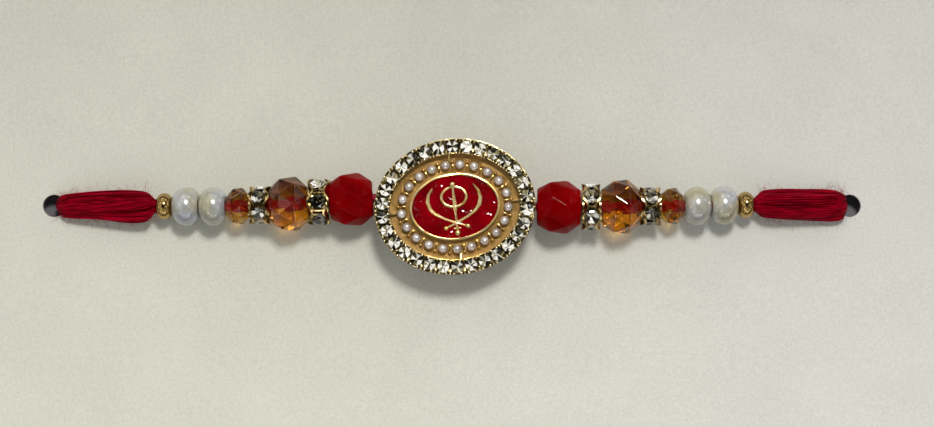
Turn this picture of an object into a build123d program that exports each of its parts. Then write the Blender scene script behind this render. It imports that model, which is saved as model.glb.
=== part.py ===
from build123d import *
from math import atan2, cos, degrees, hypot, pi, radians, sin, sqrt
import os

# Rakhi thread bracelet held on a plain card, in millimetres. +X runs along the thread,
# +Y up the face of the card and +Z out of it. The card's long edges stand on z = 0, with
# the origin under the middle between its two holes.

# Card: a stiff paper sheet, bowed a little over the thread that passes behind it
card_length = 150.0
card_width = 100.0
card_thickness = 0.8
card_bow = 2.7
card_corner_radius = 2.0
hole_spacing = 120.4
hole_diameter = 3.4

# Thread: a puffed bundle of floss at each end, and a thin core through the beads
core_diameter = 1.2
bundle_width = 5.1
bundle_height = 3.4
back_width = 2.5
back_thickness = 1.3
thread_card_gap = 0.12
thread_hole_room = 0.2
route_smoothing = 1.5
bend_share = 0.45
core_into_bundle = 2.0
bundle_bend_length = 1.6
knot_length = 7.0
knot_width = 6.0
knot_corner_radius = 2.1
knot_top_radius = 1.0
knot_sole_chamfer = 0.2

# Clearances
bore_clearance = 0.2
bead_gap = 0.18
medallion_gap = 0.26
frame_hole_clearance = 0.35
loose_gap = 0.1
enamel_gap = 0.05
stone_lift = 0.02
# How far joined metal runs into its neighbour
weld = 0.1

# Beads: outer diameter and length along the thread. A cut bead's end is the share of its
# radius that the flat end keeps, and a round bead's lip is the flat ring about its bore.
red_diameter = 8.0
red_length = 6.5
red_end = 0.68
amber_diameter = 8.2
amber_length = 5.7
amber_end = 0.64
small_amber_diameter = 5.5
small_amber_length = 3.3
small_amber_end = 0.62
white_diameter = 5.8
white_length = 3.9
white_lip = 0.9
gold_diameter = 4.0
gold_length = 2.4
gold_lip = 0.3
large_spacer_diameter = 6.9
large_spacer_length = 2.8
large_spacer_stone = 2.3
small_spacer_diameter = 5.6
small_spacer_length = 2.8
small_spacer_stone = 1.95
spacer_plate = 0.4
spacer_post = 0.26
spacer_post_inset = 0.2
spacer_stone_count = 6
spacer_turn = 30.0
large_spacer_turn_left = 0.0
bead_facets = 8
bead_band = 0.4

# Cut stone: its parts as shares of its diameter
stone_crown = 0.17
stone_girdle = 0.06
stone_pavilion = 0.36
stone_table = 0.62
stone_culet = 0.2
spacer_notch = 0.42

# Medallion: half sizes of its ovals, and heights above its back
medallion_x = 0.5
medallion_drop = 0.5
medallion_turn = 6.5
rim_half_length = 12.0
rim_half_width = 10.1
rim_wall_back = 1.0
rim_chamfer = 0.25
rim_land = 0.15
rim_height = 4.0
rim_stone = 1.8
rim_stone_count = 30
channel_depth = 0.75
grain_radius = 0.24
grain_inset = 0.05
dish_thickness = 0.5
dish_over_hole = 0.05
wall_under_hole = 0.35
pearl_diameter = 1.4
pearl_count = 21
pearl_half_length = 7.98
pearl_half_width = 6.28
pearl_seat_depth = 0.2
prong_radius = 0.17
prong_head_radius = 0.22
prong_outwards = 0.5
pearl_bar_length = 0.62
pearl_bar_thickness = 0.22
pearl_bar_inwards = 0.3
pearl_bar_extra = 0.15
tab_thickness = 0.28
tab_length = 1.3
tab_height = 0.85
plaque_half_length = 6.69
plaque_half_width = 4.95
plaque_floor = 0.5
bezel_thickness = 0.28
bezel_height = 0.55
enamel_thickness = 0.22
relief_height = 0.42
relief_sink = 0.2
relief_shoulder = 0.8
relief_low = 0.85
ball_flatness = 0.6
# How far the first stone and the first pearl stand from the long axis, in steps
stone_shift = 0.2
pearl_shift = -0.42

# Route of the thread over the card: x, y and the height of its middle above the card
THREAD_ROUTE = [
    (-59.45, 0.0, 1.3),
    (-52.0, 0.0, 1.95),
    (-44.3, -0.15, 2.65),
    (-38.0, -0.2, 3.2),
    (-31.0, -0.15, 3.85),
    (-24.0, 0.12, 4.32),
    (-11.6, 1.05, 4.3),
    (-7.5, 0.5, 4.25),
    (8.0, -0.15, 4.25),
    (16.0, -0.35, 4.32),
    (24.8, -0.3, 4.32),
    (32.0, -0.15, 3.85),
    (39.0, -0.1, 3.2),
    (45.3, 0.1, 2.65),
    (52.5, 0.1, 1.95),
    (59.45, 0.0, 1.3),
]

# Sections of the floss bundles: share of the way from the end bead to the hole, then the
# width and height as shares of the bundle's largest
BUNDLE_LEFT = [
    (0.0, 0.58, 0.64), (0.1, 0.85, 0.86), (0.3, 0.97, 0.92), (0.58, 0.93, 0.88), (0.84, 0.83, 0.74)
]
BUNDLE_RIGHT = [(0.0, 0.56, 0.62), (0.1, 0.83, 0.84), (0.3, 0.93, 0.9), (0.6, 0.96, 0.9), (0.85, 0.95, 0.74)]

# Way of a bundle down into its hole: distance short of its end, height above the card and
# slope in degrees, then its size on either side as a multiple of the hidden stretch's
BUNDLE_DIVE = [(0.45, 1.0, 50, 1.3, 1.65), (0.05, 0.25, 84, 1.06, 1.1), (0.0, -0.4, 90, 1.0, 1.0)]

# Raised emblem: place of each section in the plaque's axes, and half width of the metal
UPRIGHT_SWORD = [
    (0.0, 3.1, 0.1),
    (0.0, 2.3, 0.15),
    (0.0, 1.3, 0.19),
    (0.0, 0.2, 0.24),
    (0.0, -0.35, 0.26),
    (0.0, -0.85, 0.13),
    (0.0, -1.8, 0.12),
    (0.0, -3.5, 0.12),
]
CURVED_SWORD = [
    (3.05, 3.1, 0.06),
    (3.7, 2.15, 0.18),
    (3.94, 1.05, 0.26),
    (3.66, 0.0, 0.25),
    (3.0, -0.8, 0.2),
    (1.7, -1.62, 0.15),
    (0.0, -2.38, 0.13),
    (-1.4, -2.92, 0.12),
]
RING_CENTRE, RING_HALF_LENGTH, RING_HALF_WIDTH, RING_LINE = (0.0, 1.47), 1.86, 1.48, 0.15
CROSSBAR_PLACE, CROSSBAR_HALF_LENGTH, CROSSBAR_HALF_WIDTH = (0.0, -3.2), 0.55, 0.12
# Balls of the emblem: place and radius
EMBLEM_BALLS = [(0.0, 3.37, 0.33), (0.0, -3.88, 0.37), (1.66, -3.03, 0.3), (-1.66, -3.03, 0.3)]

# Worked out from the sizes above
bore_diameter = core_diameter + 2 * bore_clearance
crest = card_bow + card_thickness
medallion_bore_height = core_diameter / 2 + frame_hole_clearance + wall_under_hole
dish_under = medallion_bore_height + core_diameter / 2 + frame_hole_clearance + dish_over_hole
dish_top = dish_under + dish_thickness
channel_width = rim_stone + 2 * loose_gap
stone_half_length = rim_half_length - rim_land - channel_width / 2
stone_half_width = rim_half_width - rim_land - channel_width / 2
rim_width = channel_width + 2 * rim_land
channel_floor = rim_height - channel_depth
plaque_under = dish_top + enamel_gap
plaque_top = plaque_under + plaque_floor
dive_x = (hole_spacing - hole_diameter) / 2 + thread_card_gap + thread_hole_room + back_thickness / 2
end_bend_radius = back_thickness / 2 + 0.15
back_height = card_bow - thread_card_gap - back_thickness / 2
pearl_height = dish_top + pearl_diameter / 2 + loose_gap - pearl_seat_depth


def oval(half_length, half_width, low, high):
    """Upright elliptical plug from one height to another."""
    return Pos(0, 0, low) * extrude(Ellipse(half_length, half_width), high - low)


def oval_places(count, half_length, half_width, start=0.0):
    """Evenly spaced places on an ellipse: x, y and the direction that points outwards."""
    steps = 2880
    lengths = [0.0]
    for k in range(steps):
        a, b = 2 * pi * k / steps, 2 * pi * (k + 1) / steps
        step = hypot(half_length * (cos(b) - cos(a)), half_width * (sin(b) - sin(a)))
        lengths.append(lengths[-1] + step)
    places = []
    for k in range(count):
        target = lengths[-1] * ((k + start) / count % 1)
        at = next(i for i in range(steps + 1) if lengths[i + 1] > target)
        angle = 2 * pi * at / steps
        x, y = half_length * cos(angle), half_width * sin(angle)
        places.append((x, y, degrees(atan2(y / half_width**2, x / half_length**2))))
    return places


def ring_of_points(height, radius, sides, turn):
    angles = [2 * pi * (k + turn) / sides for k in range(sides)]
    return [Vector(radius * cos(a), radius * sin(a), height) for a in angles]


def faceted_solid(levels, sides):
    """Cut glass from levels of height, radius and part turn, with flat faces only.

    Where two levels are turned alike, the band between them has four-sided faces, and
    where they are half a step apart it has triangles.
    """
    rings = [ring_of_points(height, radius, sides, turn) for height, radius, turn in levels]
    polygons = [list(reversed(rings[0])), rings[-1]]
    for low, high, (_, _, low_turn), (_, _, high_turn) in zip(rings, rings[1:], levels, levels[1:]):
        for k in range(sides):
            a, b, c, d = low[k], low[(k + 1) % sides], high[k], high[(k + 1) % sides]
            if high_turn == low_turn:
                polygons.append([a, b, d, c])
            elif high_turn > low_turn:
                polygons += [[a, b, c], [b, d, c]]
            else:
                polygons += [[a, d, c], [a, b, d]]
    return Solid(Shell([Face(Wire.make_polygon(points)) for points in polygons]))


def cut_stone(diameter):
    """Round cut stone, girdle at z = 0 and table up: table, crown, girdle and pavilion."""
    half, radius = stone_girdle / 2 * diameter, diameter / 2
    levels = [
        (-stone_pavilion * diameter, stone_culet * radius, 0.0),
        (-half, radius, 0.0),
        (half, radius, 0.0),
        (stone_crown * diameter, stone_table * radius, 0.5),
    ]
    return faceted_solid(levels, bead_facets)


def faceted_bead(diameter, length, end_share):
    """Drilled cut-glass bead along z, with a zigzag band of facets round its middle."""
    radius = diameter / 2
    levels = [
        (-length / 2, end_share * radius, 0.0),
        (-bead_band / 2 * length, radius, 0.5),
        (bead_band / 2 * length, radius, 0.0),
        (length / 2, end_share * radius, 0.5),
    ]
    return faceted_solid(levels, bead_facets) - Cylinder(bore_diameter / 2, 2 * length)


def round_bead(diameter, length, lip):
    """Drilled round bead along z: its outside is one arc, with small flat ends."""
    radius, bore = diameter / 2, bore_diameter / 2
    outside = ThreePointArc((bore + lip, -length / 2), (radius, 0), (bore + lip, length / 2))
    half = length / 2
    ends = Polyline((bore + lip, half), (bore, half), (bore, -half), (bore + lip, -half))
    profile = make_face([outside, ends])
    return revolve(Plane.XZ * profile, Axis.Z)


def spacer_plate_outline(radius, notch, count):
    """Wavy round outline that is low at each stone and high between the stones."""
    points = []
    for k in range(2 * count):
        reach = radius - notch if k % 2 == 0 else radius
        angle = pi * k / count
        points.append((reach * cos(angle), reach * sin(angle)))
    return make_face(Spline(*points, periodic=True))


def spacer_metal(diameter, length, stone):
    """Drilled hub with two wavy plates, and a post between each two stones."""
    count, radius = spacer_stone_count, diameter / 2
    girdle = radius - stone_crown * stone
    hub_radius = girdle - stone_pavilion * stone - loose_gap
    body = Cylinder(hub_radius, length)
    outline = spacer_plate_outline(radius, spacer_notch * stone, count)
    for low in (-length / 2, length / 2 - spacer_plate):
        body += Pos(0, 0, low) * extrude(outline, spacer_plate)
    post_reach = radius - spacer_post_inset
    post = Pos(post_reach / 2, 0, 0) * Box(post_reach, spacer_post, length - spacer_plate)
    posts = [Rot(0, 0, (k + 0.5) * 360 / count) * post for k in range(count)]
    return body + posts - Cylinder(bore_diameter / 2, 2 * length)


def spacer_stones(diameter, stone):
    """Six cut stones whose tables face outwards round a spacer."""
    count, girdle = spacer_stone_count, diameter / 2 - stone_crown * stone
    outward = Pos(girdle, 0, 0) * Rot(0, 90, 0) * Rot(0, 0, 180 / bead_facets) * cut_stone(stone)
    return [Rot(0, 0, 360 * k / count) * outward for k in range(count)]


def make_card():
    half, bow = card_width / 2, card_bow
    lower = ThreePointArc((-half, 0), (0, bow), (half, 0))
    upper = ThreePointArc((half, card_thickness), (0, crest), (-half, card_thickness))
    sides = [Line((half, 0), (half, card_thickness)), Line((-half, card_thickness), (-half, 0))]
    profile = make_face([lower, upper] + sides)
    sheet = extrude(Plane.YZ * profile, card_length / 2, both=True)
    corners = sheet.edges().filter_by(Axis.Z)
    sheet = fillet(corners, card_corner_radius)
    for side in (-1, 1):
        sheet -= Pos(side * hole_spacing / 2, 0, 0) * Cylinder(hole_diameter / 2, 4 * crest)
    return sheet


def thread_point(x):
    """Middle of the thread at x, and its direction there, by smoothing over the corners."""
    def on_runs(at):
        for (xa, ya, ha), (xb, yb, hb) in zip(THREAD_ROUTE, THREAD_ROUTE[1:]):
            if at <= xb or xb == THREAD_ROUTE[-1][0]:
                share = (at - xa) / (xb - xa)
                return Vector(at, ya + share * (yb - ya), crest + ha + share * (hb - ha))
    before, after = on_runs(x - route_smoothing), on_runs(x + route_smoothing)
    return (before + after + on_runs(x) * 2) / 4, (after - before).normalized()


def along_thread(piece, x, turn=0.0):
    """Puts a piece made along z on the thread at x, turned about it."""
    place, direction = thread_point(x)
    across = Vector(0, 1, 0).cross(direction).normalized()
    return Plane(place, x_dir=across, z_dir=direction).location * Rot(0, 0, turn) * piece


def bead_order():
    """The beads of one side from the medallion outwards: name, length and maker."""
    return [
        ("red_bead", red_length),
        ("large_spacer", large_spacer_length),
        ("amber_bead", amber_length),
        ("small_spacer", small_spacer_length),
        ("small_amber", small_amber_length),
        ("white_bead_1", white_length),
        ("white_bead_2", white_length),
        ("gold_bead", gold_length),
    ]


def bead_places(side):
    """Middle of each bead of a side, and where the last one ends."""
    turn = radians(medallion_turn)
    reach = 1 / sqrt((cos(turn) / rim_half_length) ** 2 + (sin(turn) / rim_half_width) ** 2)
    x = medallion_x + side * (reach + medallion_gap)
    places = {}
    for name, length in bead_order():
        places[name] = x + side * length / 2
        x += side * (length + bead_gap)
    return places, x


def bundle_sections(side, table):
    """Faces across the floss bundle from its end bead to the middle of the card's hole."""
    start = bead_places(side)[1]
    bend_start = side * (dive_x - bundle_bend_length)
    faces = []
    for share, width, height in table:
        place, direction = thread_point(start + share * (bend_start - start))
        faces.append((place, direction * side, width * bundle_width, height * bundle_height))
    for short_by, height, fall, left_size, right_size in BUNDLE_DIVE:
        place = Vector(side * (dive_x - short_by), 0, crest + height)
        direction = Vector(side * cos(radians(fall)), 0, -sin(radians(fall)))
        size = left_size if side < 0 else right_size
        faces.append((place, direction, size * back_width, size * back_thickness))
    sections = []
    for place, direction, width, height in faces:
        plane = Plane(place, x_dir=(0, 1, 0), z_dir=direction)
        sections.append(plane * Ellipse(width / 2, height / 2))
    return sections


def make_thread_front():
    """Core through the beads and the bundle at each end, as one solid."""
    left_start, right_start = bead_places(-1)[1], bead_places(1)[1]
    inner = [(x, y, h) for x, y, h in THREAD_ROUTE if left_start < x < right_start]
    ends = [thread_point(left_start - core_into_bundle)[0], thread_point(right_start + core_into_bundle)[0]]
    points = [ends[0]] + [Vector(x, y, crest + h) for x, y, h in inner] + [ends[1]]
    radii = []
    for before, at, after in zip(points, points[1:], points[2:]):
        turn = (at - before).get_angle(after - at)
        run = min((at - before).length, (after - at).length)
        radii.append(bend_share * run / sin(radians(turn) / 2) * cos(radians(turn) / 2))
    path = FilletPolyline(*points, radius=radii)
    core = sweep(Plane(path @ 0, z_dir=path % 0) * Circle(core_diameter / 2), path)
    left = loft(bundle_sections(-1, BUNDLE_LEFT))
    right = loft(bundle_sections(1, BUNDLE_RIGHT))
    return core + left + right


def make_thread_back():
    """The hidden stretch: down through both holes and flat along the back of the card."""
    top = crest - card_thickness / 2
    corners = [(-dive_x, 0, top), (-dive_x, 0, back_height), (dive_x, 0, back_height), (dive_x, 0, top)]
    path = FilletPolyline(*corners, radius=end_bend_radius)
    start = Plane(corners[0], x_dir=(0, 1, 0), z_dir=(0, 0, -1))
    return sweep(start * Ellipse(back_width / 2, back_thickness / 2), path)


def make_thread_knot():
    """Plain knot round the hidden stretch, pressed flat where it lies on the table."""
    height = card_bow - thread_card_gap
    body = Box(knot_length, knot_width, height, align=(Align.CENTER, Align.CENTER, Align.MIN))
    body = fillet(body.edges().filter_by(Axis.Z), knot_corner_radius)
    body = fillet(body.edges().group_by(Axis.Z)[-1], knot_top_radius)
    body = chamfer(body.edges().group_by(Axis.Z)[0], knot_sole_chamfer)
    passage = Ellipse(back_width / 2 + loose_gap, back_thickness / 2 + loose_gap)
    return body - Pos(0, 0, back_height) * extrude(Plane.YZ * passage, knot_length, both=True)


def on_medallion(piece):
    """Puts a piece of the medallion in its place on the thread."""
    place = thread_point(medallion_x)[0]
    y, z = place.Y - medallion_drop, place.Z - medallion_bore_height
    return Pos(medallion_x, y, z) * Rot(0, 0, medallion_turn) * piece


def make_rim():
    """Oval casting: wall, stone channel, dish, thread holes, grains, tabs and pearl prongs."""
    inner_length, inner_width = rim_half_length - rim_width, rim_half_width - rim_width
    body = oval(rim_half_length, rim_half_width, 0, rim_height)
    body = chamfer(body.edges().group_by(Axis.Z)[0], rim_chamfer)
    body -= oval(rim_half_length - rim_wall_back, rim_half_width - rim_wall_back, -1, dish_under)
    body -= oval(inner_length, inner_width, dish_top, rim_height + 1)
    above = rim_height + 1
    outer = rim_land + channel_width
    channel = oval(inner_length + outer, inner_width + outer, channel_floor, above)
    channel -= oval(inner_length + rim_land, inner_width + rim_land, channel_floor - 1, above + 1)
    body -= channel
    for side in (-1, 1):
        middle = thread_point(medallion_x)[0].Y - medallion_drop
        across = thread_point(medallion_x + side * rim_half_length)[0].Y - middle
        hole = Cylinder(core_diameter / 2 + frame_hole_clearance, rim_half_length)
        hole = Pos(side * rim_half_length, across, medallion_bore_height) * Rot(0, 90, 0) * hole
        body -= Rot(0, 0, -medallion_turn) * hole
    grain_height = rim_height - channel_floor
    grain = Cylinder(grain_radius, grain_height, align=(Align.CENTER, Align.CENTER, Align.MIN))
    grain = Pos(0, 0, channel_floor) * (grain + Pos(0, 0, grain_height) * Sphere(grain_radius))
    across = rim_stone / 2 - grain_inset
    grains = []
    for x, y, angle in oval_places(rim_stone_count, stone_half_length, stone_half_width, 0.5 + stone_shift):
        for offset in (-across, across):
            grains.append(Pos(x, y, 0) * Rot(0, 0, angle) * Pos(offset, 0, 0) * grain)
    return body + grains


def make_dish_work(body):
    """Adds the four small bars and the prongs of the pearl ring to the casting."""
    inner_length, inner_width = rim_half_length - rim_width, rim_half_width - rim_width
    upright = (Align.CENTER, Align.CENTER, Align.MIN)
    bar = Box(tab_length + weld, tab_thickness, tab_height, align=(Align.MAX, Align.CENTER, Align.MIN))
    added = []
    for angle, reach in ((0, inner_length), (90, inner_width), (180, inner_length), (270, inner_width)):
        added.append(Rot(0, 0, angle) * Pos(reach + weld, 0, dish_top - weld) * bar)
    prong_height = pearl_diameter / 2 - pearl_seat_depth + weld
    prong = Cylinder(prong_radius, prong_height, align=upright)
    prong += Pos(0, 0, prong_height) * Sphere(prong_head_radius)
    ridge = Box(pearl_bar_length, pearl_bar_thickness, prong_height + pearl_bar_extra, align=upright)
    for x, y, angle in oval_places(pearl_count, pearl_half_length, pearl_half_width, 0.5 + pearl_shift):
        place = Pos(x, y, dish_top - weld) * Rot(0, 0, angle)
        added += [place * Pos(prong_outwards, 0, 0) * prong, place * Pos(-pearl_bar_inwards, 0, 0) * ridge]
    seat = Sphere(pearl_diameter / 2 + loose_gap)
    places = oval_places(pearl_count, pearl_half_length, pearl_half_width, pearl_shift)
    return body + added - [Pos(x, y, pearl_height) * seat for x, y, _ in places]


def make_rim_stones():
    stones = []
    for x, y, angle in oval_places(rim_stone_count, stone_half_length, stone_half_width, stone_shift):
        place = Pos(x, y, rim_height + stone_lift) * Rot(0, 0, angle + 180 / bead_facets)
        stones.append(place * cut_stone(rim_stone))
    return stones


def make_pearls():
    places = oval_places(pearl_count, pearl_half_length, pearl_half_width, pearl_shift)
    return [Pos(x, y, pearl_height) * Sphere(pearl_diameter / 2) for x, y, _ in places]


def ridge_along(table, grow, mirrored=1):
    """Roofed ridge of cast metal that swells and narrows along its sections."""
    sections = []
    for k, (u, v, half) in enumerate(table):
        before, after = table[max(k - 1, 0)], table[min(k + 1, len(table) - 1)]
        along = Vector(mirrored * (after[0] - before[0]), after[1] - before[1], 0).normalized()
        across = Vector(0, 0, 1).cross(along)
        overrun = grow * ((k == len(table) - 1) - (k == 0))
        place = Vector(mirrored * u, v, 0) + along * overrun
        shoulder, top = relief_shoulder * relief_height + grow, relief_height + grow
        profile = [(-1, -relief_sink), (-1, shoulder), (0, top), (1, shoulder), (1, -relief_sink)]
        sections.append([place + across * (side * (half + grow)) + Vector(0, 0, z) for side, z in profile])
    polygons = [list(reversed(sections[0])), sections[-1]]
    for low, high in zip(sections, sections[1:]):
        for k in range(len(low)):
            a, b, c, d = low[k], low[(k + 1) % len(low)], high[k], high[(k + 1) % len(low)]
            polygons += [[a, b, c], [b, d, c]]
    ridge = Solid(Shell([Face(Wire.make_polygon(points)) for points in polygons]))
    return ridge if ridge.volume > 0 else -ridge


def make_emblem(grow):
    """The raised emblem about z = 0, or the same form grown by a clearance."""
    low, high = -relief_sink, relief_low * relief_height + grow
    ring = Ellipse(RING_HALF_LENGTH + RING_LINE + grow, RING_HALF_WIDTH + RING_LINE + grow)
    ring -= Ellipse(RING_HALF_LENGTH - RING_LINE - grow, RING_HALF_WIDTH - RING_LINE - grow)
    bar = Ellipse(CROSSBAR_HALF_LENGTH + grow, CROSSBAR_HALF_WIDTH + grow)
    pieces = [
        ridge_along(UPRIGHT_SWORD, grow),
        ridge_along(CURVED_SWORD, grow),
        ridge_along(CURVED_SWORD, grow, -1),
        Pos(*RING_CENTRE, low) * extrude(ring, high - low),
        Pos(*CROSSBAR_PLACE, low) * extrude(bar, high - low),
    ]
    for u, v, radius in EMBLEM_BALLS:
        stem = Cylinder(radius + grow, high - low, align=(Align.CENTER, Align.CENTER, Align.MIN))
        dome = Pos(0, 0, high - low) * scale(Sphere(radius + grow), (1, 1, ball_flatness))
        pieces.append(Pos(u, v, low) * (stem + dome))
    return pieces


def make_plaque():
    body = oval(plaque_half_length, plaque_half_width, plaque_under, plaque_top + bezel_height)
    inside = (plaque_half_length - bezel_thickness, plaque_half_width - bezel_thickness)
    body -= oval(*inside, plaque_top, plaque_top + bezel_height + 1)
    return body + [Pos(0, 0, plaque_top) * piece for piece in make_emblem(0.0)]


def make_enamel():
    inset = bezel_thickness + enamel_gap
    low = plaque_top + enamel_gap
    body = oval(plaque_half_length - inset, plaque_half_width - inset, low, low + enamel_thickness)
    return body - [Pos(0, 0, plaque_top) * piece for piece in make_emblem(enamel_gap)]


nodes = {"card": make_card(), "thread_front": make_thread_front(), "thread_back": make_thread_back()}
nodes["thread_knot"] = make_thread_knot()
nodes["medallion_frame"] = on_medallion(make_dish_work(make_rim()))
nodes["rim_stones"] = Compound([on_medallion(stone) for stone in make_rim_stones()])
nodes["seed_pearls"] = Compound([on_medallion(pearl) for pearl in make_pearls()])
nodes["emblem_plaque"] = on_medallion(make_plaque())
nodes["enamel"] = on_medallion(make_enamel())

for side, hand in ((-1, "left"), (1, "right")):
    places = bead_places(side)[0]
    small_amber = faceted_bead(small_amber_diameter, small_amber_length, small_amber_end)
    simple = {
        f"red_bead_{hand}": ("red_bead", faceted_bead(red_diameter, red_length, red_end)),
        f"amber_bead_{hand}": ("amber_bead", faceted_bead(amber_diameter, amber_length, amber_end)),
        f"small_amber_{hand}": ("small_amber", small_amber),
        f"white_bead_{hand}_1": ("white_bead_1", round_bead(white_diameter, white_length, white_lip)),
        f"white_bead_{hand}_2": ("white_bead_2", round_bead(white_diameter, white_length, white_lip)),
        f"gold_bead_{hand}": ("gold_bead", round_bead(gold_diameter, gold_length, gold_lip)),
    }
    for node, (place, bead) in simple.items():
        nodes[node] = along_thread(bead, places[place])
    for size, diameter, length, stone in (
        ("large", large_spacer_diameter, large_spacer_length, large_spacer_stone),
        ("small", small_spacer_diameter, small_spacer_length, small_spacer_stone),
    ):
        x = places[f"{size}_spacer"]
        turn = large_spacer_turn_left if size == "large" and side < 0 else spacer_turn
        metal = spacer_metal(diameter, length, stone)
        nodes[f"{size}_spacer_{hand}"] = along_thread(metal, x, turn)
        stones = [along_thread(one, x, turn) for one in spacer_stones(diameter, stone)]
        nodes[f"{size}_spacer_stones_{hand}"] = Compound(stones)

os.makedirs("parts", exist_ok=True)
for node, shape in nodes.items():
    export_step(shape, f"parts/{node}.step")
    print(node, round(shape.volume, 2))
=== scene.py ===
import math
import random

import bpy
import bmesh
from mathutils import Matrix, Vector


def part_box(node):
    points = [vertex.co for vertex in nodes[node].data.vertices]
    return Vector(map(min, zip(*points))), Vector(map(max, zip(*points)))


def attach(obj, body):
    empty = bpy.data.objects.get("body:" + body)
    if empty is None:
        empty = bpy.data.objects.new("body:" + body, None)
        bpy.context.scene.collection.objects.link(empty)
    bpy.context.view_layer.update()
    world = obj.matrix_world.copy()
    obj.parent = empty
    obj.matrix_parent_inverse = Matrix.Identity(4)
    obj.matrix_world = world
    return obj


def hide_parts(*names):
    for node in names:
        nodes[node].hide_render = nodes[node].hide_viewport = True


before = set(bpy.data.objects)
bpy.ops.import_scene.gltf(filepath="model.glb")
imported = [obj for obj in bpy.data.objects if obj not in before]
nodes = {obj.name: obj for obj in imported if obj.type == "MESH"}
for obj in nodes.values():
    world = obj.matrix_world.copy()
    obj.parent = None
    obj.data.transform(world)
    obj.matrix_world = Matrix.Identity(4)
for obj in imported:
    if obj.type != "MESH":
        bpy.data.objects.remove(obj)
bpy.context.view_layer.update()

bpy.ops.object.select_all(action="DESELECT")
MM = 0.001

# Camera: held square over the card, which runs past all four sides of the picture.
CAMERA_ELEVATION = math.radians(88.5)
CAMERA_DISTANCE = 330 * MM
VIEW_WIDTH = 140.7 * MM
AIM = Vector((2.3, -1.2, 5.0)) * MM
toward_camera = Vector((0, -math.cos(CAMERA_ELEVATION), math.sin(CAMERA_ELEVATION)))
bpy.ops.object.camera_add(
    location=AIM + CAMERA_DISTANCE * toward_camera,
    rotation=(math.pi / 2 - CAMERA_ELEVATION, 0, 0),
)
camera = bpy.context.object
camera.data.sensor_width = 36
camera.data.lens = 36 * CAMERA_DISTANCE / VIEW_WIDTH
camera.data.clip_start = 10 * MM
bpy.context.scene.camera = camera
bpy.context.scene.view_settings.view_transform = "Standard"

# Table top and light: a plain dark matt table in a room of bright and dim patches, which the
# metal and the stones mirror. One lamp high behind the card draws the shadows, and a broad
# low one in front fills them.
def linear(code):
    """An sRGB hex colour as the linear colour that a shader takes."""
    values = [int(code[k:k + 2], 16) / 255 for k in (1, 3, 5)]
    return tuple(v / 12.92 if v < 0.04045 else ((v + 0.055) / 1.055) ** 2.4 for v in values) + (1.0,)


def add(tree, kind, settings={}, links={}):
    """Adds a node. Settings name its properties or sockets, and links feed its sockets."""
    node = tree.nodes.new(kind)
    for name, value in settings.items():
        if isinstance(name, str) and hasattr(node, name):
            setattr(node, name, value)
        else:
            node.inputs[name].default_value = value
    for name, source in links.items():
        tree.links.new(source, node.inputs[name])
    return node


def ramp(tree, source, lowest, highest, *between):
    """A colour ramp over a source. Each stop is a position and an sRGB colour."""
    node = add(tree, "ShaderNodeValToRGB", {}, {"Fac": source})
    stops = node.color_ramp.elements
    for stop, (position, colour) in zip(stops, (lowest, highest)):
        stop.position, stop.color = position, linear(colour)
    for position, colour in between:
        stops.new(position).color = linear(colour)
    return node


def select_alone(piece):
    """Makes a piece the only one that the next operator works on."""
    bpy.ops.object.select_all(action="DESELECT")
    piece.select_set(True)
    bpy.context.view_layer.objects.active = piece


def new_finish(name, settings):
    """A new material whose Principled shader has these sockets set: material, tree, shader."""
    material = bpy.data.materials.new(name)
    material.use_nodes = True
    tree = material.node_tree
    shader = tree.nodes["Principled BSDF"]
    for socket, value in settings.items():
        shader.inputs[socket].default_value = value
    return material, tree, shader


def dress(node, material):
    """Gives a CAD node its finish."""
    nodes[node].material_slots[0].material = material


bpy.ops.mesh.primitive_plane_add(size=3)
table = bpy.context.object
table.name = "table_top"
painted_board, tree, shader = new_finish("painted_board", {"Roughness": 0.6})
shader.inputs["Base Color"].default_value = linear("#74747c")
table.data.materials.append(painted_board)

# Name, place in millimetres, size in millimetres, power in watts and colour
LAMPS = [
    ("ceiling_light", (60, 240, 520), 100, 1.99, "#fffaf2"),
    ("front_light", (20, -330, 270), 340, 0.05, "#f4f7f8"),
]
for name, place, size, power, colour in LAMPS:
    bpy.ops.object.light_add(type="AREA", location=Vector(place) * MM)
    lamp = bpy.context.object
    lamp.name = name
    lamp.data.size = size * MM
    lamp.data.energy = power
    lamp.data.color = linear(colour)[:3]
    lamp.rotation_euler = (Vector(place) * MM).to_track_quat("Z", "Y").to_euler()
world = bpy.data.worlds.new("room")
bpy.context.scene.world = world
world.use_nodes = True
tree = world.node_tree
direction = add(tree, "ShaderNodeTexCoord").outputs["Generated"]
upward = add(tree, "ShaderNodeSeparateXYZ", {}, {0: direction}).outputs["Z"]
walls = ramp(
    tree, upward, (0.0, "#8f8f8a"), (0.985, "#2c2c2c"),
    (0.4, "#f4f4f0"), (0.92, "#f0f0ec"), (0.955, "#707070"),
)
spread = add(tree, "ShaderNodeTexNoise", {"Scale": 8.0, "Detail": 1.0}, {"Vector": direction})
spots = add(tree, "ShaderNodeMapRange", {1: 0.66, 2: 0.69, 3: 0.0, 4: 5.0}, {0: spread.outputs[0]})
panes = add(tree, "ShaderNodeMapRange", {1: 0.52, 2: 0.56, 3: 0.09, 4: 1.02}, {0: spread.outputs[0]})
both = add(tree, "ShaderNodeMath", {"operation": "ADD"}, {0: spots.outputs[0], 1: panes.outputs[0]})
tree.links.new(walls.outputs[0], tree.nodes["Background"].inputs["Color"])
tree.links.new(both.outputs[0], tree.nodes["Background"].inputs["Strength"])

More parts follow.
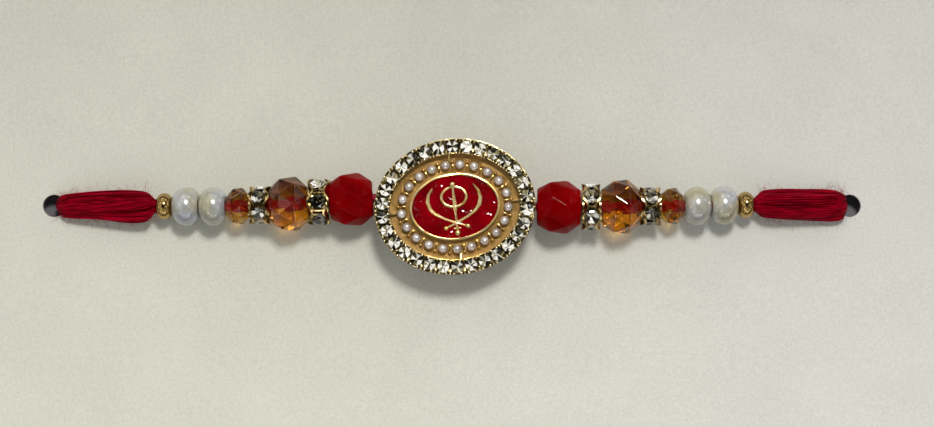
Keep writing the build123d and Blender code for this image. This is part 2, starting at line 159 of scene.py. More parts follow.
# Card: stiff uncoated paper board with a soft felted face. Fine fibres give it a close
# mottle and a little relief. Painted shade darkens it toward its far edge, a painted
# shadow dims the middle of that edge, and it is a little cooler toward the right.
felt_board, tree, shader = new_finish("felt_board", {"Roughness": 0.9, "Specular IOR Level": 0.2})
place = add(tree, "ShaderNodeTexCoord").outputs["Object"]
mottle = add(
    tree, "ShaderNodeTexNoise", {"Scale": 2600.0, "Detail": 3.0, "Roughness": 0.6}, {"Vector": place}
)
drift = add(tree, "ShaderNodeTexNoise", {"Scale": 90.0, "Detail": 3.0}, {"Vector": place})
mottle_and_painted_shade = add(
    tree, "ShaderNodeMath", {"operation": "MULTIPLY_ADD", 1: 0.35},
    {0: drift.outputs[0], 2: mottle.outputs[0]},
)
across = add(tree, "ShaderNodeSeparateXYZ", {}, {0: place}).outputs["Y"]
# Painted shade: the paper tone is shifted darker toward the far edge.
mottle_and_painted_shade = add(
    tree, "ShaderNodeMath", {"operation": "MULTIPLY_ADD", 1: -1.6}, {0: across, 2: mottle_and_painted_shade.outputs[0]}
)
paper = ramp(tree, mottle_and_painted_shade.outputs[0], (0.4, "#d0d1c8"), (0.95, "#e4e5da"))
# Painted shade: the paper is scaled darker toward the far edge.
painted_falloff = add(tree, "ShaderNodeMapRange", {1: -32 * MM, 2: 32 * MM, 3: 1.02, 4: 0.81}, {0: across})
shaded = add(
    tree, "ShaderNodeVectorMath", {"operation": "SCALE"}, {0: paper.outputs[0], "Scale": painted_falloff.outputs[0]}
)
sideways = add(tree, "ShaderNodeSeparateXYZ", {}, {0: place}).outputs["X"]
cooler = add(tree, "ShaderNodeMapRange", {1: -10 * MM, 2: 60 * MM, 3: 1.0, 4: 1.07}, {0: sideways})
tint = add(tree, "ShaderNodeCombineXYZ", {0: 1.0, 1: 1.0}, {2: cooler.outputs[0]})
tinted = add(
    tree, "ShaderNodeVectorMath", {"operation": "MULTIPLY"}, {0: shaded.outputs[0], 1: tint.outputs[0]}
)
# Painted shadow: a dim patch at the middle of the far edge.
from_top = add(
    tree, "ShaderNodeVectorMath", {"operation": "DISTANCE", 1: (0, 40 * MM, 3 * MM)}, {0: place}
)
painted_shadow_dip = add(
    tree, "ShaderNodeMapRange", {1: 8 * MM, 2: 34 * MM, 3: 0.93, 4: 1.0}, {0: from_top.outputs["Value"]}
)
with_painted_shadow = add(
    tree, "ShaderNodeVectorMath", {"operation": "SCALE"}, {0: tinted.outputs[0], "Scale": painted_shadow_dip.outputs[0]}
)
tree.links.new(with_painted_shadow.outputs[0], shader.inputs["Base Color"])
fibres = add(
    tree, "ShaderNodeTexNoise", {"Scale": 1900.0, "Detail": 6.0, "Roughness": 0.65}, {"Vector": place}
)
relief = add(tree, "ShaderNodeBump", {"Strength": 0.3, "Distance": 0.08 * MM}, {"Height": fibres.outputs[0]})
tree.links.new(relief.outputs[0], shader.inputs["Normal"])
dress("card", felt_board)

# Floss bundles: at each end the crimson silk floss is left loose. Plies of fine strands
# swell beside the end bead, lie side by side and dive together through the card's hole.
STRAND = 0.19
FIBRE = 0.022
STRAY_FIBRES = 260
PLIES, STRANDS_IN_PLY = 6, 44
CARD_TOP = 3.35
# Sections from the end bead to the hole: x, y, z of the middle, then width and height
FLOSS_LEFT = [
    (-44.0, -0.15, 6.18, 1.1, 1.1),
    (-44.9, -0.15, 6.12, 3.0, 2.5),
    (-46.0, -0.2, 6.0, 4.9, 3.4),
    (-48.8, -0.15, 5.75, 5.45, 3.5),
    (-52.6, 0.0, 5.42, 4.9, 3.2),
    (-55.8, 0.0, 5.16, 4.4, 2.7),
    (-57.7, 0.0, 4.92, 3.9, 2.2),
    (-58.8, 0.0, 4.4, 3.4, 1.6),
    (-59.22, 0.0, 3.75, 2.65, 1.15),
    (-59.26, 0.0, 3.1, 2.4, 1.1),
]
FLOSS_RIGHT = [
    (45.0, 0.1, 6.18, 1.1, 1.1),
    (45.9, 0.1, 6.12, 2.9, 2.4),
    (47.0, 0.1, 6.0, 4.5, 3.2),
    (49.8, 0.1, 5.75, 5.0, 3.3),
    (53.2, 0.08, 5.42, 5.05, 3.3),
    (56.2, 0.05, 5.16, 5.0, 2.9),
    (57.8, 0.0, 4.92, 4.85, 2.4),
    (58.8, 0.0, 4.45, 4.35, 1.9),
    (59.22, 0.0, 3.75, 2.8, 1.2),
    (59.26, 0.0, 3.1, 2.4, 1.1),
]
rng = random.Random(5)


def section_at(table, share):
    """A row between the table's rows, on a smooth curve through all of them."""
    reach = share * (len(table) - 1)
    k = min(int(reach), len(table) - 2)
    t = reach - k
    before, at, after, later = (table[min(max(k + d, 0), len(table) - 1)] for d in (-1, 0, 1, 2))
    return [
        0.5 * (2 * b + (c - a) * t + (2 * a - 5 * b + 4 * c - d) * t ** 2 + (3 * b - a - 3 * c + d) * t ** 3)
        for a, b, c, d in zip(before, at, after, later)
    ]


def strands(name, lanes, thickness):
    """Fine smooth tubes along lanes of points in millimetres, as one mesh."""
    curve = bpy.data.curves.new(name, "CURVE")
    curve.dimensions = "3D"
    curve.bevel_depth = thickness / 2 * MM
    curve.bevel_resolution = 0
    curve.use_fill_caps = True
    for lane in lanes:
        spline = curve.splines.new("POLY")
        spline.points.add(len(lane) - 1)
        for point, at in zip(spline.points, lane):
            point.co = (at[0] * MM, at[1] * MM, at[2] * MM, 1.0)
    piece = bpy.data.objects.new(name, curve)
    bpy.context.collection.objects.link(piece)
    select_alone(piece)
    bpy.ops.object.convert(target="MESH")
    bpy.ops.object.shade_smooth()
    return piece


def ply_lanes(table, plies, strands_in_ply, thickness, steps, turns):
    """Lanes of strands that fill a bundle's sections, gathered in slowly turning plies."""
    lanes = []
    for ply in range(plies):
        start = rng.uniform(-0.15, 0.15) + 2 * math.pi * ply / (plies - 1)
        spread = 0.0 if ply == 0 else 0.64
        sway = rng.uniform(0, 2 * math.pi)
        for strand in range(strands_in_ply):
            out = 0.36 * math.sqrt((strand + 0.6) / strands_in_ply)
            around = 2.4 * strand + rng.uniform(-0.2, 0.2)
            lane = []
            for step in range(steps + 1):
                share = step / steps
                x, y, z, width, height = section_at(table, share)
                ahead = section_at(table, min(share + 0.01, 1.0))
                behind = section_at(table, max(share - 0.01, 0.0))
                along = (Vector(ahead[:3]) - Vector(behind[:3])).normalized()
                up = along.cross(Vector((0, 1, 0))).normalized()
                up = up if abs(along.x) < 0.01 or up.z > 0 else -up
                turn = start + turns * share + 0.22 * math.sin(7 * share + sway)
                own = around + 2.2 * turns * share
                u = spread * math.cos(turn) + out * math.cos(own)
                v = spread * math.sin(turn) + out * math.sin(own)
                side_room, up_room = max(width - thickness, 0.1) / 2, max(height - thickness, 0.1) / 2
                at = Vector((x, y, z)) + Vector((0, u * side_room, 0)) + up * v * up_room
                lane.append(at)
            lanes.append(lane)
    return lanes


def stray_fibres(table, count):
    """Lanes of short fibres that have worked loose from a bundle and curl away from it."""
    lanes = []
    for _ in range(count):
        x, y, z, width, height = section_at(table, rng.uniform(0.12, 0.86))
        around = rng.choice((0, math.pi)) + rng.gauss(0, 0.75)
        at = Vector((x, y + 0.47 * width * math.cos(around), z + 0.47 * height * math.sin(around)))
        heading = Vector((rng.uniform(-1, 1), 0.8 * math.cos(around), 0.35 * math.sin(around))).normalized()
        curl = Vector((rng.gauss(0, 0.3), rng.gauss(0, 0.3), -0.09))
        step = rng.choice((0.06, 0.1, 0.12, 0.22)) * rng.uniform(0.8, 1.3)
        lane = [at]
        for _ in range(8):
            heading = (heading + curl).normalized()
            at = at + step * heading
            at.z = max(at.z, CARD_TOP)
            lane.append(at)
        lanes.append(lane)
    return lanes


crimson_silk, tree, shader = new_finish(
    "crimson_silk_floss", {"Roughness": 0.5, "Specular IOR Level": 0.12}
)
shader.inputs["Specular Tint"].default_value = linear("#ff5068")
place = add(tree, "ShaderNodeTexCoord").outputs["Object"]
along = add(tree, "ShaderNodeMapping", {"Scale": (150.0, 3200.0, 3200.0)}, {"Vector": place})
dye = add(tree, "ShaderNodeTexNoise", {"Scale": 1.0, "Detail": 3.0}, {"Vector": along.outputs[0]})
shade = ramp(tree, dye.outputs[0], (0.3, "#4c000a"), (0.7, "#ae0426"))
tree.links.new(shade.outputs[0], shader.inputs["Base Color"])
nap = add(tree, "ShaderNodeBump", {"Strength": 0.5, "Distance": 0.05 * MM}, {"Height": dye.outputs[0]})
tree.links.new(nap.outputs[0], shader.inputs["Normal"])
for hand, sections, turns in (("left", FLOSS_LEFT, 0.9), ("right", FLOSS_RIGHT, -0.8)):
    lanes = ply_lanes(sections, PLIES, STRANDS_IN_PLY, STRAND, 48, turns)
    floss = strands(f"floss_bundle_{hand}", lanes, STRAND)
    floss.data.materials.append(crimson_silk)
    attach(floss, "root")
    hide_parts("thread_front")
    fuzz = strands(f"floss_fuzz_{hand}", stray_fibres(sections, STRAY_FIBRES), FIBRE)
    fuzz.data.materials.append(crimson_silk)
    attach(fuzz, "root")

# Core thread: the same silk, twisted in three plies, runs through every bead and under
# the medallion's dish. It shows red inside the amber beads.
TWIST_PITCH = 3.4
CORE_STRAND = 0.38
CORE_STEPS = 600
THREAD_ROUTE = [
    (-44.3, -0.15, 6.15),
    (-38.0, -0.2, 6.7),
    (-31.0, -0.15, 7.35),
    (-24.0, 0.12, 7.82),
    (-17.8, 0.59, 7.82),
    (-11.6, 0.98, 7.8),
    (-7.5, 0.52, 7.75),
    (0.0, 0.15, 7.75),
    (8.0, -0.15, 7.75),
    (16.0, -0.35, 7.82),
    (24.8, -0.3, 7.82),
    (32.0, -0.15, 7.35),
    (39.0, -0.1, 6.7),
    (45.3, 0.1, 6.15),
]
lanes = []
for ply in range(3):
    for strand in range(5):
        lane = []
        for step in range(CORE_STEPS + 1):
            x, y, z = section_at(THREAD_ROUTE, step / CORE_STEPS)
            turn = 2 * math.pi * (x / TWIST_PITCH + ply / 3)
            own = 2 * math.pi * (strand / 5 - x / (0.6 * TWIST_PITCH))
            lane.append((
                x,
                y + 0.34 * math.cos(turn) + 0.2 * math.cos(own),
                z + 0.34 * math.sin(turn) + 0.2 * math.sin(own),
            ))
        lanes.append(lane)
core = strands("core_thread", lanes, CORE_STRAND)
waxed_silk, tree, shader = new_finish("waxed_silk", {"Roughness": 0.38})
shader.inputs["Base Color"].default_value = linear("#a80636")
core.data.materials.append(waxed_silk)
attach(core, "root")
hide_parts("thread_front")

# Hidden stretch: behind the card the floss lies flat from hole to hole, in coarser strands
# than in front, and its ends meet the bundles in the holes.
BACK_STRAND = 0.34
BACK_RUN = [
    (-59.47, 0.0, 3.1, 2.4, 1.25),
    (-59.4, 0.0, 2.45, 2.4, 1.25),
    (-58.9, 0.0, 2.0, 2.4, 1.25),
    (-58.1, 0.0, 1.93, 2.45, 1.25),
    (-40.0, 0.0, 1.93, 2.45, 1.25),
    (-20.0, 0.0, 1.93, 2.45, 1.25),
    (0.0, 0.0, 1.93, 2.4, 1.25),
    (20.0, 0.0, 1.93, 2.45, 1.25),
    (40.0, 0.0, 1.93, 2.45, 1.25),
    (58.1, 0.0, 1.93, 2.45, 1.25),
    (58.9, 0.0, 2.0, 2.4, 1.25),
    (59.4, 0.0, 2.45, 2.4, 1.25),
    (59.47, 0.0, 3.1, 2.4, 1.25),
]
back_lanes = ply_lanes(BACK_RUN, 5, 6, BACK_STRAND, 150, 5.0)
back = strands("back_thread", back_lanes, BACK_STRAND)
back.data.materials.append(crimson_silk)
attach(back, "root")
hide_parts("thread_back")

# Knot: the two ends are tied over each other behind the middle of the card. The wraps are
# pressed flat by the table.
knot_low, knot_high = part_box("thread_knot")
knot_middle = (knot_low + knot_high) / 2 / MM
knot_half = (knot_high - knot_low) / 2 / MM
WRAP = 0.5
WRAPS, STEPS_IN_WRAP = 10, 24
lanes = []
for layer in range(2):
    lane = []
    for step in range(WRAPS * STEPS_IN_WRAP + 1):
        share = step / (WRAPS * STEPS_IN_WRAP)
        x = (2 * share - 1) * (knot_half.x - WRAP / 2) * (1 if layer else -1)
        swell = math.sqrt(max(1 - (x / knot_half.x) ** 2, 0.0)) * 0.35 + 0.65
        turn = 2 * math.pi * WRAPS * share + layer * math.pi
        flat_cos = math.copysign(abs(math.cos(turn)) ** 0.7, math.cos(turn))
        flat_sin = math.copysign(abs(math.sin(turn)) ** 0.6, math.sin(turn))
        side = (knot_half.y - WRAP / 2 - layer * 0.3) * swell * flat_cos
        rise = (knot_half.z - WRAP / 2 - 0.02) * flat_sin
        lane.append((knot_middle.x + x, knot_middle.y + side, knot_middle.z + rise))
    lanes.append(lane)
knot = strands("knot_wraps", lanes, WRAP)
knot.data.materials.append(crimson_silk)
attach(knot, "root")
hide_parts("thread_knot")

# Cut stones: clear glass with a foiled back, which throws the light out again through the
# facets of the crown. The rim has a ring of them, and each spacer six. Each stone and each
# foil facet gets a painted brightness, as painted reflections of bright and dark parts of the room.
# Painted reflections: the range of painted brightness given to each stone, and how far each set leans to dark
# facets.
STONE_PAINTED_GLINT = (0.72, 1.3)
WELD = 0.002
RIM_PAINTED_DARKNESS, SPACER_PAINTED_DARKNESS = 1.1, 1.9


def let_light_in(tree, shader, tint):
    """Lets a lamp's light through glass with a tint, so that what lies inside or behind is lit."""
    through = add(tree, "ShaderNodeBsdfTransparent", {"Color": linear(tint)})
    shadow = add(tree, "ShaderNodeLightPath").outputs["Is Shadow Ray"]
    both = add(tree, "ShaderNodeMixShader", {}, {0: shadow, 1: shader.outputs[0], 2: through.outputs[0]})
    tree.links.new(both.outputs[0], tree.nodes["Material Output"].inputs["Surface"])


crown_glass, tree, shader = new_finish(
    "clear_cut_glass", {"Roughness": 0.0, "IOR": 1.56, "Transmission Weight": 1.0}
)
shader.inputs["Base Color"].default_value = linear("#fbfaf6")
let_light_in(tree, shader, "#ffffff")
back_foil, tree, shader = new_finish("silver_foil", {"Metallic": 0.25, "Roughness": 0.1})
# Painted reflections: the foil's colour runs from near black to white by each facet's painted value.
facet_painted_light = add(tree, "ShaderNodeAttribute", {"attribute_name": "facet_painted_light"}).outputs["Fac"]
painted_sparkle = ramp(tree, facet_painted_light, (0.28, "#120f0a"), (0.58, "#ffffff"), (0.46, "#9a9064"))
tree.links.new(painted_sparkle.outputs[0], shader.inputs["Base Color"])


def loose_copy(name, node):
    """A bare copy of a CAD node, without its finish, whose mesh may be changed."""
    source = nodes[node]
    piece = source.copy()
    piece.data = source.data.copy()
    piece.name = name
    for key in list(piece.keys()):
        del piece[key]
    piece.parent = None
    bpy.context.collection.objects.link(piece)
    piece.data.materials.clear()
    return piece


def welded_mesh(piece):
    """The piece's mesh for editing, with the doubled points at its sharp edges made one."""
    mesh = bmesh.new()
    mesh.from_mesh(piece.data)
    bmesh.ops.remove_doubles(mesh, verts=mesh.verts, dist=WELD * MM)
    return mesh


def foiled_stones(name, node, crown_side, painted_darkness):
    """A copy of a node's stones whose pavilion faces carry foil; crown_side says which way is up."""
    piece = loose_copy(name, node)
    piece.data.materials.append(crown_glass)
    piece.data.materials.append(back_foil)
    mesh = welded_mesh(piece)
    facet_painted_light = mesh.faces.layers.float.new("facet_painted_light")
    # Painted glints: every stone, found as a connected island of faces, gets one painted brightness.
    painted_glint = {}
    for face in mesh.faces:
        spread = [] if face in painted_glint else [face]
        own = rng.uniform(*STONE_PAINTED_GLINT) if spread else None
        while spread:
            grown = spread.pop()
            painted_glint[grown] = own
            spread += [other for edge in grown.edges for other in edge.link_faces if other not in painted_glint]
    for face in mesh.faces:
        face.smooth = False
        face.material_index = 1 if face.normal.dot(crown_side(face.calc_center_median())) < -0.2 else 0
        # Painted reflection: each facet's random painted value, scaled by its stone's painted brightness.
        face[facet_painted_light] = rng.random() ** painted_darkness * painted_glint[face]
    mesh.to_mesh(piece.data)
    mesh.free()
    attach(piece, "root")
    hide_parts(node)
    return piece


foiled_stones("rim_brilliants", "rim_stones", lambda at: Vector((0, 0, 1)), RIM_PAINTED_DARKNESS)
for hand in ("left", "right"):
    for size in ("large", "small"):
        low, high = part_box(f"{size}_spacer_{hand}")
        hub = (low + high) / 2
        foiled_stones(
            f"{size}_spacer_brilliants_{hand}",
            f"{size}_spacer_stones_{hand}",
            lambda at: Vector((0, at.y - hub.y, at.z - hub.z)).normalized(),
            SPACER_PAINTED_DARKNESS,
        )

# Softened metal: cast and stamped metal has no knife edges, so its edges are rounded a little
# and catch the light as bright lines.
def softened_copy(name, node, finish, edge_radius, crisp=False):
    """A copy of a CAD node with rounded edges in its own finish; a crisp one keeps flat facets."""
    piece = loose_copy(name, node)
    piece.data.materials.append(finish)
    mesh = welded_mesh(piece)
    bmesh.ops.dissolve_limit(mesh, angle_limit=math.radians(0.5), verts=mesh.verts, edges=mesh.edges)
    mesh.to_mesh(piece.data)
    mesh.free()
    select_alone(piece)
    bevel = piece.modifiers.new("edges", "BEVEL")
    bevel.width = edge_radius
    bevel.segments = 2
    bevel.limit_method = "ANGLE"
    bevel.angle_limit = math.radians(12 if crisp else 38)
    bevel.use_clamp_overlap = True
    bevel.harden_normals = crisp
    if crisp:
        for polygon in piece.data.polygons:
            polygon.use_smooth = True
    bpy.ops.object.modifier_apply(modifier="edges")
    if not crisp:
        bpy.ops.object.shade_smooth_by_angle(angle=math.radians(34))
    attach(piece, "root")
    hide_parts(node)
    return piece


# Medallion casting: zinc alloy plated with warm bright gold. The dish between the rim and
# the pearls is lacquered to a satin tan, its bars and prongs stay bright, and the rim round
# the stones is painted dark, as painted shade between the stones.
frame_low, frame_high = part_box("medallion_frame")
medallion = (frame_low + frame_high) / 2
MEDALLION_TURN = math.radians(6.5)
DISH_TOP = frame_low.z + 2.85 * MM
RIM_TOP = frame_low.z + 4.0 * MM
RIM_REACH = (12.0 * MM, 10.1 * MM, 1)
RIM_SHARE, RIM_SPREAD = 0.915, 0.131
casting, tree, shader = new_finish("gilt_casting", {"Metallic": 1.0})
place = add(tree, "ShaderNodeTexCoord").outputs["Object"]
height = add(tree, "ShaderNodeSeparateXYZ", {}, {0: place}).outputs["Z"]
in_dish = add(tree, "ShaderNodeMath", {"operation": "LESS_THAN", 1: DISH_TOP + 0.03 * MM}, {0: height})
deep = add(tree, "ShaderNodeMath", {"operation": "GREATER_THAN", 1: DISH_TOP - 0.06 * MM}, {0: height})
lacquered = add(
    tree, "ShaderNodeMath", {"operation": "MULTIPLY"}, {0: in_dish.outputs[0], 1: deep.outputs[0]}
)
grain = add(tree, "ShaderNodeTexNoise", {"Scale": 1500.0, "Detail": 3.0}, {"Vector": place})
gold_tone = ramp(tree, grain.outputs[0], (0.3, "#c99a4a"), (0.7, "#f0cf86"))
# Painted shade: the dark tone laid on the rim between the stones.
rim_painted_shade = ramp(tree, grain.outputs[0], (0.42, "#4a4028"), (0.6, "#c0ac78"))
tan_tone = ramp(tree, grain.outputs[0], (0.25, "#8a6833"), (0.75, "#a8843e"))
oval = add(
    tree, "ShaderNodeMapping",
    {"vector_type": "TEXTURE", 1: (medallion.x, medallion.y, 0), 2: (0, 0, MEDALLION_TURN), 3: RIM_REACH},
    {0: place},
)
reach = add(tree, "ShaderNodeVectorMath", {"operation": "LENGTH"}, {0: oval.outputs[0]})
on_rim = add(
    tree, "ShaderNodeMath", {"operation": "COMPARE", 1: RIM_SHARE, 2: RIM_SPREAD}, {0: reach.outputs["Value"]}
)
metal_tone = add(
    tree, "ShaderNodeMix", {"data_type": "RGBA"},
    {0: on_rim.outputs[0], 6: gold_tone.outputs[0], 7: rim_painted_shade.outputs[0]},
)
tone = add(
    tree, "ShaderNodeMix", {"data_type": "RGBA"},
    {0: lacquered.outputs[0], 6: metal_tone.outputs[2], 7: tan_tone.outputs[0]},
)
tree.links.new(tone.outputs[2], shader.inputs["Base Color"])
polish = add(tree, "ShaderNodeMapRange", {3: 0.22, 4: 0.5}, {0: lacquered.outputs[0]})
tree.links.new(polish.outputs[0], shader.inputs["Roughness"])
plating = add(tree, "ShaderNodeMapRange", {3: 1.0, 4: 0.35}, {0: lacquered.outputs[0]})
tree.links.new(plating.outputs[0], shader.inputs["Metallic"])
pits = add(tree, "ShaderNodeBump", {"Strength": 0.25, "Distance": 0.04 * MM}, {"Height": grain.outputs[0]})
tree.links.new(pits.outputs[0], shader.inputs["Normal"])
softened_copy("medallion_casting", "medallion_frame", casting, 0.05 * MM)

# Rim grains: small balls of the same metal, raised along both edges of the stone channel,
# hold the stones and break up the rim's bright lines.
GRAIN = 0.42
GRAIN_RISE = 0.04
GRAIN_REACH, MIDDLE_GRAIN_REACH = 0.94, 0.98
FINE_STEPS = 1440
STONE_RING = (10.85 * MM, 8.95 * MM)
STONES = 30


def ring_places(half_length, half_width, count, start):
    """Evenly spaced places on an oval about the medallion's middle, with outward directions."""
    turns = [2 * math.pi * k / FINE_STEPS for k in range(FINE_STEPS + 1)]
    fine = [(half_length * math.cos(turn), half_width * math.sin(turn)) for turn in turns]
    lengths = [0.0]
    for (xa, ya), (xb, yb) in zip(fine, fine[1:]):
        lengths.append(lengths[-1] + math.hypot(xb - xa, yb - ya))
    places = []
    for k in range(count):
        target = lengths[-1] * ((k + start) / count % 1)
        at = next(i for i in range(FINE_STEPS) if lengths[i + 1] > target)
        x, y = fine[at]
        out = Vector((x / half_length ** 2, y / half_width ** 2, 0)).normalized()
        places.append((Vector((x, y, 0)), out))
    return places


mesh = bmesh.new()
grain_base = Vector((medallion.x, medallion.y, RIM_TOP + GRAIN_RISE * MM))
for step in (0.25, 0.5, 0.75):
    grain_reach, scale = (MIDDLE_GRAIN_REACH, 0.9) if step == 0.5 else (GRAIN_REACH, 1.0)
    for at, out in ring_places(*STONE_RING, STONES, 0.2 + step):
        for edge in (grain_reach, -grain_reach):
            turned = Matrix.Rotation(MEDALLION_TURN, 3, "Z") @ (at + out * edge * MM)
            size = GRAIN * rng.uniform(0.85, 1.1) * scale
            ball = bmesh.ops.create_icosphere(mesh, subdivisions=2, radius=size / 2 * MM)
            bmesh.ops.translate(mesh, verts=ball["verts"], vec=grain_base + turned)
for face in mesh.faces:
    face.smooth = True
grains = bpy.data.objects.new("rim_grains", bpy.data.meshes.new("rim_grains"))
mesh.to_mesh(grains.data)
mesh.free()
bpy.context.collection.objects.link(grains)
grain_gilt, tree, shader = new_finish("grain_gilt", {"Metallic": 1.0, "Roughness": 0.16})
shader.inputs["Base Color"].default_value = linear("#f2e0b4")
grains.data.materials.append(grain_gilt)
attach(grains, "root")

# Plaque: the bezel and the raised emblem are polished and plated a bright yellow gold.
bright_gilt, tree, shader = new_finish("bright_gilt", {"Metallic": 1.0, "Roughness": 0.28})
place = add(tree, "ShaderNodeTexCoord").outputs["Object"]
wear = add(tree, "ShaderNodeTexNoise", {"Scale": 900.0, "Detail": 3.0}, {"Vector": place})
tone = ramp(tree, wear.outputs[0], (0.3, "#f0c870"), (0.7, "#ffeab4"))
tree.links.new(tone.outputs[0], shader.inputs["Base Color"])
hammer = add(tree, "ShaderNodeBump", {"Strength": 0.2, "Distance": 0.05 * MM}, {"Height": wear.outputs[0]})
tree.links.new(hammer.outputs[0], shader.inputs["Normal"])
softened_copy("plaque_casting", "emblem_plaque", bright_gilt, 0.07 * MM)

# Enamel: a poured, glossy red. It dimples a little all over, so that the lamps break up
# into small glints.
red_enamel, tree, shader = new_finish("poured_enamel", {"Roughness": 0.05, "Specular IOR Level": 0.4})
place = add(tree, "ShaderNodeTexCoord").outputs["Object"]
pool = add(tree, "ShaderNodeTexNoise", {"Scale": 420.0, "Detail": 2.0}, {"Vector": place})
dimples = add(tree, "ShaderNodeTexNoise", {"Scale": 820.0, "Detail": 1.0}, {"Vector": place})
tone = ramp(tree, pool.outputs[0], (0.3, "#640008"), (0.7, "#90000c"))
tree.links.new(tone.outputs[0], shader.inputs["Base Color"])
ripple = add(tree, "ShaderNodeBump", {"Strength": 1.0, "Distance": 0.29 * MM}, {"Height": dimples.outputs[0]})
tree.links.new(ripple.outputs[0], shader.inputs["Normal"])
dress("enamel", red_enamel)

# Seed pearls: imitation pearls, glass under a pink-grey nacre with a soft deep gloss.
nacre, tree, shader = new_finish(
    "nacre", {"Metallic": 0.6, "Roughness": 0.24, "Coat Weight": 1.0, "Coat Roughness": 0.03}
)
place = add(tree, "ShaderNodeTexCoord").outputs["Object"]
orient = add(tree, "ShaderNodeTexNoise", {"Scale": 700.0, "Detail": 2.0}, {"Vector": place})
tone = ramp(tree, orient.outputs[0], (0.3, "#beb2ae"), (0.7, "#f0e8e4"))
tree.links.new(tone.outputs[0], shader.inputs["Base Color"])
dress("seed_pearls", nacre)

# White beads: opaque glass with a pearly lustre coat that slides from cream to grey and is
# slightly uneven. They are painted darker toward the near side, as painted shade.
lustre, tree, shader = new_finish(
    "pearly_glass", {"Metallic": 0.35, "Roughness": 0.22, "Coat Weight": 1.0}
)
place = add(tree, "ShaderNodeTexCoord").outputs["Object"]
peel = add(tree, "ShaderNodeTexNoise", {"Scale": 1500.0, "Detail": 1.0}, {"Vector": place})
rough = add(tree, "ShaderNodeBump", {"Strength": 0.5, "Distance": 0.03 * MM}, {"Height": peel.outputs[0]})
tree.links.new(rough.outputs[0], shader.inputs["Normal"])
tree.links.new(rough.outputs[0], shader.inputs["Coat Normal"])
cloud = add(tree, "ShaderNodeTexNoise", {"Scale": 260.0, "Detail": 2.0}, {"Vector": place})
tone = ramp(tree, cloud.outputs[0], (0.38, "#b8b296"), (0.62, "#bfc2cc"))
across = add(tree, "ShaderNodeSeparateXYZ", {}, {0: place}).outputs["Y"]
# Painted shade: the bead's colour is scaled darker toward the near side.
painted_shade_fall = add(
    tree, "ShaderNodeMapRange", {1: -2.6 * MM, 2: 0.6 * MM, 3: 0.68, 4: 1.06}, {0: across}
)
painted_shaded = add(
    tree, "ShaderNodeVectorMath", {"operation": "SCALE"},
    {0: tone.outputs[0], "Scale": painted_shade_fall.outputs[0]},
)
tree.links.new(painted_shaded.outputs[0], shader.inputs["Base Color"])
for hand in ("left", "right"):
    for number in (1, 2):
        dress(f"white_bead_{hand}_{number}", lustre)

# Red beads: cut glass so deeply coloured that it is opaque, with a hard gloss.
ruby_glass, tree, shader = new_finish("opaque_red_glass", {
    "Roughness": 0.05, "Specular IOR Level": 0.04,
    "Subsurface Weight": 0.8, "Subsurface Radius": (1.0, 0.1, 0.08), "Subsurface Scale": 1.3 * MM,
})
place = add(tree, "ShaderNodeTexCoord").outputs["Object"]
depth = add(tree, "ShaderNodeTexNoise", {"Scale": 180.0, "Detail": 2.0}, {"Vector": place})
tone = ramp(tree, depth.outputs[0], (0.3, "#700003"), (0.7, "#8e0004"))
tree.links.new(tone.outputs[0], shader.inputs["Base Color"])
for hand in ("left", "right"):
    softened_copy(
        f"red_crystal_{hand}", f"red_bead_{hand}", ruby_glass, 0.22 * MM, crisp=True
    )

# Amber beads: clear honey-coloured cut glass, browner on the upper half as painted shade, with
# painted light and shade on its facets. The lamps shine through it, so it throws a warm shadow on the card.
amber_glass, tree, shader = new_finish(
    "amber_cut_glass", {"Roughness": 0.01, "IOR": 1.46, "Transmission Weight": 1.0}
)
place = add(tree, "ShaderNodeTexCoord").outputs["Object"]
upward = add(tree, "ShaderNodeSeparateXYZ", {}, {0: place}).outputs["Y"]
# Painted shade: the glass is browner toward its upper half.
painted_shade_rise = add(tree, "ShaderNodeMapRange", {1: -0.6 * MM, 2: 1.0 * MM}, {0: upward})
tone = ramp(tree, painted_shade_rise.outputs[0], (0.0, "#f0be46"), (1.0, "#a87624"))
# Painted light and shade: each facet is made lighter or darker by its painted value.
facet_painted_light = add(tree, "ShaderNodeAttribute", {"attribute_name": "facet_painted_light"}).outputs["Fac"]
painted_facet_tone = ramp(tree, facet_painted_light, (0.25, "#bc8c58"), (0.6, "#ffffff"))
tinted = add(
    tree, "ShaderNodeMix", {"data_type": "RGBA", "blend_type": "MULTIPLY", 0: 1.0},
    {6: tone.outputs[0], 7: painted_facet_tone.outputs[0]},
)
tree.links.new(tinted.outputs[2], shader.inputs["Base Color"])
let_light_in(tree, shader, "#908470")
filled_bore, tree, shader = new_finish("filled_bore", {})
clear = add(tree, "ShaderNodeBsdfTransparent", {"Color": linear("#ffffff")})
tree.links.new(clear.outputs[0], tree.nodes["Material Output"].inputs["Surface"])
FACET_EDGE = 0.07
BORE_REACH = 1.1


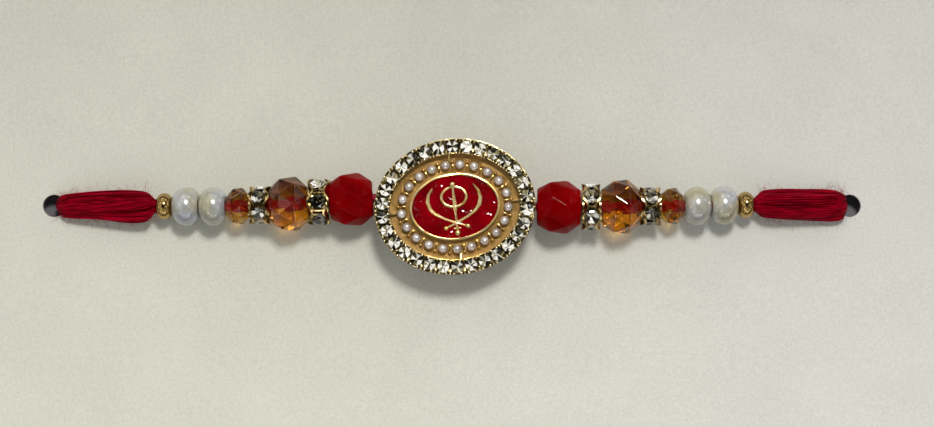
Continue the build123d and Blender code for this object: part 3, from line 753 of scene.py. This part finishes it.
def threaded_glass(name, node):
    """A copy of a cut bead whose bore is filled by the waxed thread, so it bends no light."""
    piece = loose_copy(name, node)
    piece.data.materials.append(amber_glass)
    piece.data.materials.append(filled_bore)
    low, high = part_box(node)
    hub = (low + high) / 2
    mesh = welded_mesh(piece)
    facet_painted_light = mesh.faces.layers.float.new("facet_painted_light")
    bmesh.ops.dissolve_limit(mesh, angle_limit=math.radians(0.5), verts=mesh.verts, edges=mesh.edges)
    for face in mesh.faces:
        reach = [math.hypot(v.co.y - hub.y, v.co.z - hub.z) for v in face.verts]
        face.smooth = False
        # Each facet gets a random painted light value.
        face[facet_painted_light] = rng.random()
        face.material_index = 1 if max(reach) < BORE_REACH * MM else 0
    facet_edges = [
        edge for edge in mesh.edges
        if len(edge.link_faces) == 2 and all(f.material_index == 0 for f in edge.link_faces)
        and edge.calc_face_angle() > math.radians(8)
    ]
    bmesh.ops.bevel(mesh, geom=facet_edges, offset=FACET_EDGE * MM, segments=1, affect="EDGES")
    mesh.to_mesh(piece.data)
    mesh.free()
    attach(piece, "root")
    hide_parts(node)


for hand in ("left", "right"):
    threaded_glass(f"amber_crystal_{hand}", f"amber_bead_{hand}")
    threaded_glass(f"small_amber_crystal_{hand}", f"small_amber_{hand}")

# Spacers and end beads: stamped and turned brass with a warm gold plating. A spacer's drum is
# kept below its stones, and its two thin flanges fold outwards round each of them.
spacer_gilt, tree, shader = new_finish("stamped_gilt", {"Metallic": 1.0, "Roughness": 0.2})
place = add(tree, "ShaderNodeTexCoord").outputs["Object"]
tarnish = add(tree, "ShaderNodeTexNoise", {"Scale": 800.0, "Detail": 4.0}, {"Vector": place})
tone = ramp(tree, tarnish.outputs[0], (0.4, "#6f5a2e"), (0.62, "#e6cb90"))
tree.links.new(tone.outputs[0], shader.inputs["Base Color"])
turned_gilt, tree, shader = new_finish("turned_gilt", {"Metallic": 1.0, "Roughness": 0.09})
shader.inputs["Base Color"].default_value = linear("#b8985e")
FLANGE = 0.26
FLANGE_INSET = 0.12
FLANGE_DEPTH = 1.25
WAVE = 0.36
DRUM_DEPTH = 0.75


def wavy_flanges(name, node, first_stone):
    """The two thin flanges that fold outwards round each of a spacer's six stones."""
    low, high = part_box(node)
    hub = (low + high) / 2 / MM
    radius = max(high.y - low.y, high.z - low.z) / 2 / MM
    half = (high.x - low.x) / 2 / MM
    mesh = bmesh.new()
    rings, around = 5, 144
    for side in (-1, 1):
        for face in (0, 1):
            grid = []
            for ring in range(rings + 1):
                share = ring / rings
                row = []
                for k in range(around):
                    turn = 2 * math.pi * k / around
                    swing = math.cos(6 * (turn - first_stone))
                    reach = radius - FLANGE_DEPTH + share * (1.18 + 0.06 * swing)
                    out = half - FLANGE_INSET + WAVE * (swing - 0.6) * share ** 1.5 - face * FLANGE
                    row.append(mesh.verts.new(Vector((
                        hub.x + side * out, hub.y + reach * math.sin(turn), hub.z + reach * math.cos(turn)
                    )) * MM))
                grid.append(row)
            if face == 0:
                outer = grid
            for inner, outside in zip(grid, grid[1:]):
                for k in range(around):
                    j = (k + 1) % around
                    mesh.faces.new((inner[k], inner[j], outside[j], outside[k]))
        for edge in (0, rings):
            for k in range(around):
                j = (k + 1) % around
                mesh.faces.new((outer[edge][k], outer[edge][j], grid[edge][j], grid[edge][k]))
    bmesh.ops.recalc_face_normals(mesh, faces=mesh.faces)
    piece = bpy.data.objects.new(name, bpy.data.meshes.new(name))
    mesh.to_mesh(piece.data)
    mesh.free()
    bpy.context.collection.objects.link(piece)
    select_alone(piece)
    bpy.ops.object.shade_smooth_by_angle(angle=math.radians(40))
    piece.data.materials.append(spacer_gilt)
    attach(piece, "root")


for hand in ("left", "right"):
    dress(f"gold_bead_{hand}", turned_gilt)
    for size in ("large", "small"):
        node = f"{size}_spacer_{hand}"
        drum = softened_copy(f"{size}_spacer_drum_{hand}", node, spacer_gilt, 0.07 * MM)
        low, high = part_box(node)
        hub = (low + high) / 2
        kept = max(high.y - low.y, high.z - low.z) / 2 - DRUM_DEPTH * MM
        for vertex in drum.data.vertices:
            away = math.hypot(vertex.co.y - hub.y, vertex.co.z - hub.z)
            if away > kept:
                vertex.co.y = hub.y + (vertex.co.y - hub.y) * kept / away
                vertex.co.z = hub.z + (vertex.co.z - hub.z) * kept / away
        turned = 0.0 if (size, hand) == ("large", "left") else math.pi / 6
        wavy_flanges(f"{size}_spacer_flanges_{hand}", node, turned)
